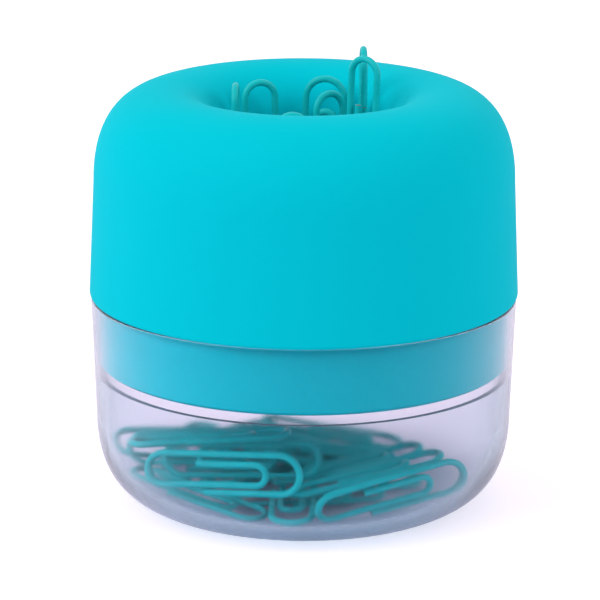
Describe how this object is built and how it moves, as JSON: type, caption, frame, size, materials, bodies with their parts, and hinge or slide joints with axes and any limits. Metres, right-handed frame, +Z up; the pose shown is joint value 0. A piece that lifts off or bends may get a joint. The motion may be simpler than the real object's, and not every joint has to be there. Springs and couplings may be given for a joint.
{
  "type": "magnetic paper clip holder",
  "caption": "Round desk holder for paper clips: frosted clear cup of clips under a push-in cap whose top has a rolled well, where a hidden ring magnet holds clips upright.",
  "frame": {"origin": "middle of the flat base that stands on the desk", "axes": "+Z up along the axis of the cup; -Y is the side seen in the picture, with +X to its right"},
  "size_m": [0.0763, 0.0762, 0.0812],
  "materials": {
    "cup_clear": "frosted translucent moulding",
    "cap_colour": "soft-touch satin",
    "magnet": "sintered ferrite",
    "clip_coating": "vinyl-coated steel wire"
  },
  "bodies": {
    "cup": {"cup": "cup_clear", "loose_clip_01": "clip_coating", "loose_clip_02": "clip_coating", "loose_clip_03": "clip_coating", "loose_clip_04": "clip_coating", "loose_clip_05": "clip_coating", "loose_clip_06": "clip_coating", "loose_clip_07": "clip_coating", "loose_clip_08": "clip_coating", "loose_clip_09": "clip_coating", "loose_clip_10": "clip_coating", "loose_clip_11": "clip_coating", "loose_clip_12": "clip_coating", "loose_clip_13": "clip_coating", "loose_clip_14": "clip_coating", "loose_clip_15": "clip_coating", "loose_clip_16": "clip_coating", "loose_clip_17": "clip_coating", "loose_clip_18": "clip_coating", "loose_clip_19": "clip_coating", "loose_clip_20": "clip_coating", "loose_clip_21": "clip_coating"},
    "cap": {"cap_shell": "cap_colour", "cap_plug": "cap_colour", "ring_magnet": "magnet"},
    "clip_1": {"standing_clip_1": "clip_coating"},
    "clip_2": {"standing_clip_2": "clip_coating"},
    "clip_3": {"standing_clip_3": "clip_coating"},
    "clip_4": {"standing_clip_4": "clip_coating"},
    "clip_5": {"standing_clip_5": "clip_coating"},
    "clip_6": {"standing_clip_6": "clip_coating"},
    "clip_7": {"standing_clip_7": "clip_coating"}
  },
  "joints": [
    {"name": "cap_lift", "type": "slide", "parent": "cup", "child": "cap", "axis": [0, 0, 1], "range_m": [0, 0.04]},
    {"name": "clip_1_pull", "type": "slide", "parent": "cap", "child": "clip_1", "axis": [0, 0, 1], "range_m": [0, 0.03]},
    {"name": "clip_2_pull", "type": "slide", "parent": "cap", "child": "clip_2", "axis": [0, 0, 1], "range_m": [0, 0.03]},
    {"name": "clip_3_pull", "type": "slide", "parent": "cap", "child": "clip_3", "axis": [0, 0, 1], "range_m": [0, 0.03]},
    {"name": "clip_4_pull", "type": "slide", "parent": "cap", "child": "clip_4", "axis": [0, 0, 1], "range_m": [0, 0.03]},
    {"name": "clip_5_pull", "type": "slide", "parent": "cap", "child": "clip_5", "axis": [0, 0, 1], "range_m": [0, 0.03]},
    {"name": "clip_6_pull", "type": "slide", "parent": "cap", "child": "clip_6", "axis": [0, 0, 1], "range_m": [0, 0.03]},
    {"name": "clip_7_pull", "type": "slide", "parent": "cap", "child": "clip_7", "axis": [0, 0, 1], "range_m": [0, 0.03]}
  ]
}
